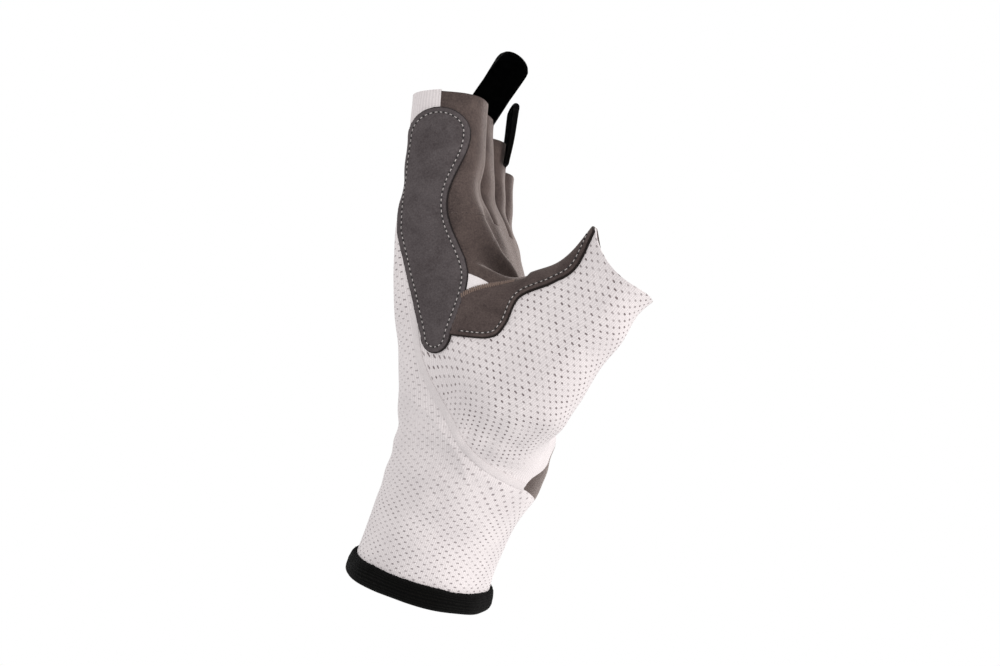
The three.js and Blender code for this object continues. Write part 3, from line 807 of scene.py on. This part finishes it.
WRIST_BODIES = ("gauntlet", "hand")
THUMB_BODIES = ("hand", "thumb")
white_piece("sleeve_and_back", back, white_mesh, WRIST_BODIES, WRIST_BEND,
            "sleeve_back", "sleeve_front", "wrist_crease", "back_panel")
white_piece("thumb_mesh_root", thumb_base, thumb_mesh, WRIST_BODIES, WRIST_BEND, "thumb_root")
white_piece("thumb_mesh_stall", thumb_end, thumb_mesh, THUMB_BODIES, THUMB_BEND, "thumb_mesh")
grey_piece("palm", palm, WRIST_BODIES, WRIST_BEND, "palm_panel")
grey_piece("thumb_suede_face", thumb_palm, THUMB_BODIES, THUMB_BEND, "thumb_suede")


# ------------------------------------------------------------------ finger stalls
def stall_at(name, z):
    """Middle, half depth, half breadth and inner squareness of a stall at a height."""
    order = FINGER_NAMES.index(name)
    share = np.clip((z - PALM_TOP) / (STALL_END[name] - PALM_TOP), 0, 1.1)
    ease = np.clip((z - PALM_TOP) / (CROTCH_HEIGHT - PALM_TOP), 0, 1)
    palm_x, _, palm_depth, _, _, palm_square = palm_at(z)
    tip_depth = STALL_DEPTH[name] / 2
    depth = palm_depth + (tip_depth - PALM_TOP_DEPTH) * eased(ease)
    breadth = STALL_HALF * (1 - 0.08 * share)
    mid_y = (order - 1.5) * FINGER_PITCH * (1 - 0.07 * share)
    square = 12 * (2.9 / 12) ** (ease ** 0.6)
    return palm_x + STALL_DRIFT[name] * share, mid_y, depth, breadth, palm_square, square


def stall_field(name, p):
    """Below zero inside a finger stall."""
    mid_x, mid_y, depth, breadth, outer_square, inner_square = stall_at(name, p[..., 2])
    x = np.abs(p[..., 0] - mid_x - arch(p[..., 1], p[..., 2])) / depth
    y = np.abs(p[..., 1] - mid_y) / breadth
    outer = {"index": p[..., 1] < mid_y, "little": p[..., 1] > mid_y}.get(name, False)
    square = np.where(outer, outer_square, inner_square)
    return (rounded_radius(x, y, square) - 1) * np.minimum(depth, breadth * 1.6) - slack(p)


def outwards(field, centre, direction, reach=60.0):
    """Points where rays from inside the form meet its surface."""
    near, far = np.zeros(len(centre)), np.full(len(centre), reach)
    for _ in range(34):
        middle = (near + far) / 2
        inside = field(centre + direction * middle[:, None]) < 0
        near, far = np.where(inside, middle, near), np.where(inside, far, middle)
    return centre + direction * ((near + far) / 2)[:, None]


def band_faces(rows, around):
    """Two triangles for each cell of a band of rows that closes on itself."""
    i, j = (grid.ravel() for grid in np.meshgrid(np.arange(rows - 1), np.arange(around), indexing="ij"))
    a, b = i * around + j, i * around + (j + 1) % around
    return np.concatenate([np.stack([a, b, b + around], 1), np.stack([a, b + around, a + around], 1)])


def stall_sheet(name):
    """A finger stall as an open tube, a little longer than its cut end."""
    spare, spacing, radius = 4, 1.0, 13.0
    around, rows = 104, int((STALL_END[name] + spare - PALM_TOP) / spacing)
    heights = np.linspace(PALM_TOP, STALL_END[name] + spare, rows)
    turn = np.linspace(0, 2 * math.pi, around, endpoint=False)
    z, angle = (grid.ravel() for grid in np.meshgrid(heights, turn, indexing="ij"))
    mid_x, mid_y = stall_at(name, z)[:2]
    centre = np.stack([mid_x + arch(mid_y, z), mid_y, z], 1)
    direction = unit(np.stack([1.5 * np.cos(angle), np.sin(angle), 0 * angle], 1))

    def field(p):
        return stall_field(name, p)

    points = outwards(field, centre, direction)
    weave = np.stack([(angle - math.pi) * radius, z], 1)
    return Cloth(points, band_faces(rows, around), unit(slopes(field, points)), weave)


# the cut ends: height at the middle and how it falls towards the palm side
RIM = {"index": (146, -0.12), "middle": (145.5, -0.10), "ring": (141, -0.16), "little": (132.5, -0.2)}
BACK_RIM = {"index": 146.9, "middle": 147.5, "ring": 142.5, "little": 134}
TIP_FLAP, TIP_FLAP_START = 3.6, 132      # white cloth comes further round the index tip

for name in FINGER_NAMES:
    stall = stall_sheet(name)
    seam_line = SIDE_SEAM
    if name == "index":
        seam_line = SIDE_SEAM + TIP_FLAP * np.clip((stall.v[:, 2] - TIP_FLAP_START) / 3, 0, 1)
    back_side, front_side = cut(stall, stall.v[:, 0] - seam_line)
    back_side, _ = cut(back_side, back_side.v[:, 2] - BACK_RIM[name])
    height, fall = RIM[name]
    front_side, _ = cut(front_side, front_side.v[:, 2] - height - fall * front_side.v[:, 0])
    bodies = ("hand", f"{name}_finger")
    piece = shell(f"{name}_back_mesh", back_side, 0.0, MESH_CLOTH, white_mesh)
    note(piece, "dense", np.full(2 * len(back_side.v), 0.85 if name == "index" else 0.2))
    note_rest(piece)
    across(piece, *bodies, *FINGER_BEND)
    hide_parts(f"{name}_back")
    edge = height + fall * front_side.v[:, 0] - front_side.v[:, 2]
    grey_piece(f"{name}_suede", front_side, bodies, FINGER_BEND, f"{name}_knuckle", f"{name}_front",
               f"{name}_thumb_side", f"{name}_outer_side", edge=edge + 0.4)


# ------------------------------------------------------------------ pieces laid over the thumb side
def side_field(p):
    """The palm below and the index stall above, eased into each other over 7 mm."""
    share = np.clip((p[..., 2] - PALM_TOP + 3.5) / 7, 0, 1)
    return body_field(p) * (1 - share) + stall_field("index", p) * share


def on_side(flat, field, middle_y=-30.0):
    """Points of the thumb side over flat (x, z) positions, with their normals."""
    centre = np.stack([flat[:, 0], np.full(len(flat), middle_y), flat[:, 1]], 1)
    points = outwards(field, centre, np.array([0.0, -1.0, 0.0]))
    return points, unit(slopes(field, points))


def laid_over(name, cloth, lift, thickness, material, rounding=0.55):
    """A patch lying on the surface, with its cut edge rolled down."""
    edge = rim_distance(cloth)
    crown = thickness * np.sqrt(1 - (1 - np.clip(edge / rounding, 0, 1)) ** 2 * 0.85)
    piece = shell(name, cloth, lift, -lift * 0.2, material, extra=crown)
    note(piece, "edge_mm", np.concatenate([edge, edge * 0]))
    note_rest(piece)
    return piece


def stitch_row(name, points, normals, pitch, length, radius, material,
               slant=0.0, sink=0.1, phase=0.5):
    """Separate stitches of thread along a row of surface points, each dipping in at its ends."""
    run = np.concatenate([[0], np.cumsum(np.linalg.norm(np.diff(points, axis=0), axis=1))])
    count = round(run[-1] / pitch)
    pitch = run[-1] / count
    rng = np.random.default_rng(SEED)
    vertices, faces = [], []
    sides, rings = 7, 7
    uneven = 0.08
    for k in range(count):
        at = (k + phase) * pitch + rng.uniform(-uneven, uneven) * pitch
        here, ahead = (np.array([np.interp(s, run, c) for c in points.T]) for s in (at - 0.1, at + 0.1))
        up = np.array([np.interp(at, run, c) for c in normals.T])
        up /= np.linalg.norm(up)
        forward = ahead - here
        forward -= up * (forward @ up)
        forward /= np.linalg.norm(forward)
        across_way = np.cross(up, forward)
        forward, across_way = (forward * math.cos(slant) + across_way * math.sin(slant),
                               across_way * math.cos(slant) - forward * math.sin(slant))
        middle = (here + ahead) / 2
        base = len(vertices)
        for r in range(rings):
            t = -1 + 2 * r / (rings - 1)
            width = radius * math.sqrt(max(1 - t ** 4, 0.05))
            rise = radius * 0.75 - sink - 0.9 * radius * t ** 4
            centre = middle + forward * t * length / 2 + up * rise
            for s in range(sides):
                turn = 2 * math.pi * s / sides
                vertices.append(centre + across_way * width * math.cos(turn)
                                + up * width * 0.8 * math.sin(turn))
        for r in range(rings - 1):
            for s in range(sides):
                a, b = base + r * sides + s, base + r * sides + (s + 1) % sides
                faces.append((a, b, b + sides, a + sides))
        faces.append(tuple(base + s for s in range(sides))[::-1])
        faces.append(tuple(base + (rings - 1) * sides + s for s in range(sides)))
    piece = new_object(name, np.array(vertices), faces, material, np.zeros((len(vertices), 2)))
    note_rest(piece)
    return piece


def inset(outline, distance):
    """A closed outline moved inwards."""
    points = outline[:-1]
    ahead = np.roll(points, -1, axis=0)
    run = ahead - np.roll(points, 1, axis=0)
    inward = unit(np.stack([-run[:, 1], run[:, 0]], 1))
    area = (points[:, 0] * ahead[:, 1] - points[:, 1] * ahead[:, 0]).sum()
    moved = points + inward * distance * np.sign(area)
    return np.vstack([moved, moved[:1]])


def moved_line(line, distance):
    """An open line moved to its left."""
    run = np.gradient(line, axis=0)
    return line + unit(np.stack([-run[:, 1], run[:, 0]], 1)) * distance


STITCH_PITCH, STITCH_LENGTH, THREAD_RADIUS = 2.2, 1.35, 0.18
HOLE_LENGTH, HOLE_RADIUS = 0.95, 0.36


def seam(name, flat, field, lift, bodies, bend):
    """Topstitching over a flat line on the thumb side, with the needle holes between the stitches."""
    points, normals = on_side(flat, field)
    points = points + normals * lift
    stitches = stitch_row(name, points, normals, STITCH_PITCH, STITCH_LENGTH, THREAD_RADIUS,
                          thread_light)
    across(stitches, *bodies, *bend)
    holes = stitch_row(name + "_holes", points, normals, STITCH_PITCH, HOLE_LENGTH, HOLE_RADIUS,
                       needle_dark, sink=0.08, phase=0.0)
    across(holes, *bodies, *bend)


side = finer(surface_of(side_field, (-26, -52, 24), (30, -18, 153), SIDE_GRID), side_field)
side, _ = cut(side, side.v[:, 1] + 30.0)
INDEX_BODIES = ("hand", "index_finger")

PATCH_FOOT, PATCH_TOP = 39, 139  # ends of the index patch
PATCH_FOOT_CAP, PATCH_TOP_CAP = 7, 11    # how deep its rounded ends are
PATCH_FRONT, PATCH_BACK = 9.5, -17       # its edges, towards the palm and towards the back
PATCH_WAVE, PATCH_WAVE_LENGTH = 4, 60    # the front edge swells and narrows
PATCH_SWELL = 68                 # height of the lower swell
PATCH_LEAN = 0.035               # the front edge leans back as it rises
PATCH_TAPER, TAPER_END = 0.26, 88        # the back edge runs in to the foot below here
PATCH_SHOULDER, SHOULDER_START = 0.08, 105   # and in a little to the top above here


def rounded_end(height, front, back, depth):
    """Half an ellipse that closes a strip between its two edges, up for a positive depth."""
    turn = np.linspace(0, math.pi, 40)
    middle, half = (front + back) / 2, (front - back) / 2
    return np.stack([middle + half * np.cos(turn), height + depth * np.sin(turn)], 1)


def patch_shape():
    """The index patch laid flat: a long strip with one waved edge and two rounded ends."""
    height = np.linspace(PATCH_FOOT + PATCH_FOOT_CAP, PATCH_TOP - PATCH_TOP_CAP, 90)
    above_swell = height - PATCH_SWELL
    front = PATCH_FRONT + PATCH_WAVE * np.cos(2 * math.pi * above_swell / PATCH_WAVE_LENGTH)
    front -= PATCH_LEAN * above_swell
    back = PATCH_BACK + PATCH_TAPER * np.maximum(TAPER_END - height, 0)
    back += PATCH_SHOULDER * np.maximum(height - SHOULDER_START, 0)
    top = rounded_end(height[-1], front[-1], back[-1], PATCH_TOP_CAP)
    foot = rounded_end(height[0], front[0], back[0], -PATCH_FOOT_CAP)
    front_edge, back_edge = np.stack([front, height], 1), np.stack([back, height], 1)
    loop = np.vstack([front_edge[:-1], top[:-1], back_edge[::-1][:-1], foot[::-1][:-1]])
    return np.vstack([loop, loop[:1]])


PATCH_LIFT = 0.3
patch_outline = patch_shape()
patch, _ = cut(side, outline_distance(side.v[:, [0, 2]], patch_outline))
patch, _ = cut(patch, np.where(patch.v[:, 0] < -8, patch.v[:, 1] + 40.0, -5.0))
piece = laid_over("index_patch", patch, PATCH_LIFT, PATCH_CLOTH, patch_suede)
across(piece, *INDEX_BODIES, *FINGER_BEND)
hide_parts("index_patch_lower", "index_patch_crease", "index_patch_upper")
seam("index_patch_stitches", inset(patch_outline, 2.5), side_field, PATCH_LIFT + PATCH_CLOTH,
     INDEX_BODIES, FINGER_BEND)

gusset_outline = smooth_line([(7, 63), (22, 65), (14, 70), (7, 70)], closed=True, count=80)
gusset, _ = cut(side, outline_distance(side.v[:, [0, 2]], gusset_outline))
piece = laid_over("web_gusset_knit", gusset, 0.1, 0.55, white_knit)
across(piece, *INDEX_BODIES, *FINGER_BEND)
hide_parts("web_gusset")

# The strip has a flat foot, two steps up its lower edge and a long run along the thumb.
strip_low = smooth_line([(3, 46), (23, 44), (30, 49), (35, 60), (48, 65), (58, 72), (67, 94)], closed=False)
strip_top = smooth_line([(36, 68), (21, 65), (13, 62), (6, 57)], closed=False, count=60)
strip_outline = np.vstack([strip_low, (80, 120), (46, 95), strip_top, strip_low[:1]])
near_side, _ = cut(body, body.v[:, 1] + 27.0)
near_side = finer(near_side, body_field)
strip, _ = cut(near_side, outline_distance(near_side.v[:, [0, 2]], strip_outline))
piece = laid_over("web_strip", strip, 0.2, 0.85, strip_suede)
across(piece, *THUMB_BODIES, *THUMB_BEND)
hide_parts("thumb_strip_root", "thumb_strip")
# the topstitching stops short of both ends, and so does the overlock
sewn_low, sewn_top = strip_low[14:-16], strip_top[8:-12]
seam("web_strip_stitches", moved_line(sewn_low, 2.1), body_field, 1.2, THUMB_BODIES, THUMB_BEND)
points, normals = on_side(sewn_top, body_field)
piece = stitch_row("web_overlock", points + normals * 0.9, normals, 0.85, 2.5, 0.36, thread_brown,
                   slant=1.15)
across(piece, *THUMB_BODIES, *THUMB_BEND)

# The diagonal seam is a flat raised band, 3 mm wide, on the thumb side only.
band_half = 1.5
band_side, _ = cut(white, np.abs(outline_distance(white.v[:, [0, 2]], back_outline)) - band_half)
band_side, _ = cut(band_side, band_side.v[:, 1] + 12.0)
piece = laid_over("diagonal_seam_band", band_side, 0.05, 0.45, white_mesh,
                  rounding=band_half)
note(piece, "dense", np.ones(2 * len(band_side.v)))
across(piece, *WRIST_BODIES, *WRIST_BEND)


# ------------------------------------------------------------------ knitted binding round the wrist opening
BINDING_HEIGHT = 8.9
# its section: distance out from the sleeve's wall in mm, and share of the height
BINDING_SECTION = [
    (0.2, 1.0), (1.2, 0.98), (1.9, 0.87), (2.25, 0.62), (2.3, 0.36), (2.0, 0.13), (1.1, 0.01),
    (0.0, 0.0), (-1.0, 0.07), (-1.5, 0.25), (-1.6, 0.6), (-1.5, 0.9), (-0.8, 1.0),
]


def binding():
    """A soft roll that grips the sleeve's end inside and outside, with an uneven knitted edge."""
    around = 240
    turn = np.linspace(0, 2 * math.pi, around, endpoint=False)
    profile = smooth_line(BINDING_SECTION, closed=True, count=33)[:-1]
    rng = np.random.default_rng(SEED)
    rows = []
    for offset, share in profile:
        dip = -RIM_DIP * (1 + np.cos(turn + 0.3))
        height = dip + share * (BINDING_HEIGHT - 0.4 * np.cos(turn))
        height += 0.12 * np.sin(7 * turn + 3 * share)
        height += rng.normal(0, 0.13, around) * (share > 0.9)
        centre = to_hand(np.stack([0 * turn, 0 * turn, height], 1))
        direction = np.stack([np.cos(turn), np.sin(turn), 0 * turn], 1) @ hand_turn
        wall = outwards(body_field, centre, direction)
        swell = offset * (1 + 0.08 * np.sin(11 * turn) + rng.normal(0, 0.03, around))
        rows.append(wall + direction * swell[:, None])
    points = np.concatenate(rows)
    count = len(profile)
    i, j = (g.ravel() for g in np.meshgrid(np.arange(count), np.arange(around), indexing="ij"))
    a, b = i * around + j, i * around + (j + 1) % around
    c, d = (i + 1) % count * around + (j + 1) % around, (i + 1) % count * around + j
    faces = np.concatenate([np.stack([a, b, c], 1), np.stack([a, c, d], 1)])[:, ::-1]
    row_spacing = 0.8
    weave = np.stack([turn[j] * WRAP / (2 * math.pi), i * row_spacing], 1)
    piece = new_object("cuff_roll", points, faces, cuff_knit, weave)
    note_rest(piece)
    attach(piece, "gauntlet")
    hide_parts("cuff_binding")


binding()


# ------------------------------------------------------------------ pull tabs
TAB_WIDTH, TAB_THICKNESS = 14.5, 1.2


def turned(x, y, angle):
    """Points of a plane, turned about its origin."""
    return x * np.cos(angle) - y * np.sin(angle), x * np.sin(angle) + y * np.cos(angle)


def pull_tab(finger, lean, turn, tail, length, bulge, neck, twist, shift):
    """A strap folded back on itself; its two ends are sewn to the finger stall.

    tail runs below the pivot and length above it; bulge and neck are its full depths at the fold
    and at the sewn end; twist turns the sewn end against the fold."""
    half = bulge / 2 - TAB_THICKNESS / 2
    side_x, top = neck / 2 - TAB_THICKNESS / 2, length - bulge / 2
    rise = np.linspace(-tail, top, 34)
    lean_out = np.clip(rise / top, 0, 1)
    up = np.stack([-(side_x + (half - side_x) * lean_out ** 1.3), rise], 1)
    arc = np.linspace(math.pi, 0, 16)[1:-1]
    over = np.stack([half * np.cos(arc), top + half * np.sin(arc)], 1)
    path = np.vstack([up, over, up[::-1] * (-1, 1)])
    run = np.gradient(path, axis=0)
    outward = unit(np.stack([-run[:, 1], run[:, 0]], 1))
    steps = np.linspace(-0.5, 0.5, 15)
    s, t = (g.ravel() for g in np.meshgrid(np.arange(len(path)), steps, indexing="ij"))
    s = s.astype(int)

    # towards the fold the strap narrows and its corners round off; its faces cup a little
    narrowing, corner_drop, cupping = 0.10, 4.2, 0.25
    high = np.clip((path[s, 1] - top + 4) / 6.5, 0, 1)
    y = t * TAB_WIDTH * (1 - narrowing * high ** 2)
    x = path[s, 0] + cupping * np.sin(path[s, 1] / 5) * (t * 2) ** 2
    z = path[s, 1] - corner_drop * high * (1 - np.sqrt(1 - (1.96 * t) ** 2))
    twisted = twist * (1 - np.clip(z / top, 0, 1))
    points = np.stack([*turned(x, y, twisted), z], 1)
    normals = np.stack([*turned(outward[s, 0], 0 * t, twisted), outward[s, 1]], 1)

    n = len(steps)
    i, j = (g.ravel() for g in np.meshgrid(np.arange(len(path) - 1), np.arange(n - 1), indexing="ij"))
    a, b = i * n + j, (i + 1) * n + j
    faces = np.concatenate([np.stack([a, a + 1, b + 1], 1), np.stack([a, b + 1, b], 1)])
    frame_turn = np.array(Matrix.Rotation(lean, 3, "Y") @ Matrix.Rotation(turn, 3, "Z"))
    pivot = to_hand(np.array(joints[f"{finger}_tab_fold"]["pos_m"]) / MM)
    along = np.concatenate([[0], np.cumsum(np.linalg.norm(np.diff(path, axis=0), axis=1))])
    cloth = Cloth(points @ frame_turn.T + pivot + shift, faces, normals @ frame_turn.T,
                  np.stack([y, along[s]], 1))
    half_cloth = TAB_THICKNESS / 2
    piece = shell(f"{finger}_pull_tab", cloth, half_cloth, half_cloth, webbing)
    note_rest(piece)
    axis = frame_turn @ np.array([0, 0, 1.0])
    across(piece, f"{finger}_finger", f"{finger}_tab", pivot - axis * 3, pivot + axis * 3)
    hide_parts(f"tab_{finger}")


pull_tab("middle", lean=math.radians(33), turn=math.radians(-50), tail=7.0, length=27.2,
         bulge=5.0, neck=2.9, twist=math.radians(-28), shift=(-4.0, 0, -1.4))
pull_tab("ring", lean=math.radians(8.5), turn=math.radians(26), tail=3.0, length=25.8,
         bulge=2.7, neck=1.9, twist=0.0, shift=(-3.9, 0, 0.3))


# ------------------------------------------------------------------ camera, light and floor
CAMERA_DISTANCE = 600.0          # mm, off the thumb side
CAMERA_AZIMUTH = math.radians(15)
CAMERA_AIM = (34.4, 104.6)       # middle of the view, across and up
VIEW_WIDTH = 420                 # mm, across the frame at the glove
SENSOR_WIDTH = 36


def camera_frame():
    """The camera is rolled by the lean of the hand, so that the hand stands upright in the frame."""
    view = Matrix.Rotation(LEAN, 3, "Y") @ Matrix.Rotation(-CAMERA_AZIMUTH, 3, "Z")
    back = view.transposed()
    place = back @ Vector((CAMERA_AIM[0], -CAMERA_DISTANCE, CAMERA_AIM[1])) * MM
    axes = [back @ Vector(axis) for axis in ((1, 0, 0), (0, 0, 1), (0, -1, 0))]
    return Matrix.Translation(place) @ Matrix(axes).transposed().to_4x4()


lens = bpy.data.cameras.new("camera")
lens.sensor_width = SENSOR_WIDTH
lens.lens = SENSOR_WIDTH * CAMERA_DISTANCE / VIEW_WIDTH
camera = bpy.data.objects.new("camera", lens)
camera.matrix_world = camera_frame()
bpy.context.scene.collection.objects.link(camera)
bpy.context.scene.camera = camera

WARM_WHITE = (1.0, 0.965, 0.945)
LIT_POINT = (0.0, 0.0, 0.11)     # m, the middle of the glove
FLOOR_HALF, FLOOR_HEIGHT = 9, -0.3


def softbox(name, place, size, power):
    """A round soft lamp, in metres and watts, turned to the glove."""
    lamp = bpy.data.lights.new(name, "AREA")
    lamp.shape = "DISK"
    lamp.size = size
    lamp.energy = power
    lamp.color = WARM_WHITE
    light = bpy.data.objects.new(name, lamp)
    light.location = place
    light.rotation_euler = (Vector(LIT_POINT) - Vector(place)).to_track_quat("-Z", "Y").to_euler()
    bpy.context.scene.collection.objects.link(light)


softbox("key", (1.5, -0.25, 0.3), 1.0, 15)
softbox("fill", (-0.8, -1.6, 0.9), 1.6, 6)
softbox("back", (0.4, 1.4, 1.2), 1.4, 4)

# White paper underneath, bright enough to give no shadow.
corners = [(x * FLOOR_HALF, y * FLOOR_HALF, FLOOR_HEIGHT) for x, y in ((-1, -1), (1, -1), (1, 1), (-1, 1))]
mesh = bpy.data.meshes.new("floor")
mesh.from_pydata(corners, [], [(0, 1, 2, 3)])
floor = bpy.data.objects.new("floor", mesh)
bpy.context.scene.collection.objects.link(floor)
paper, tree = new_material("floor white paper")
glow = add(tree, "ShaderNodeEmission", {"Color": (1, 1, 1, 1), "Strength": 1.0})
add(tree, "ShaderNodeOutputMaterial", {"Surface": glow.outputs[0]})
mesh.materials.append(paper)

world = bpy.data.worlds.new("studio")
world.use_nodes = True
background = world.node_tree.nodes["Background"].inputs
background[0].default_value = (1, 1, 1, 1)
background[1].default_value = 1.0
bpy.context.scene.world = world
bpy.context.scene.view_settings.view_transform = "Standard"
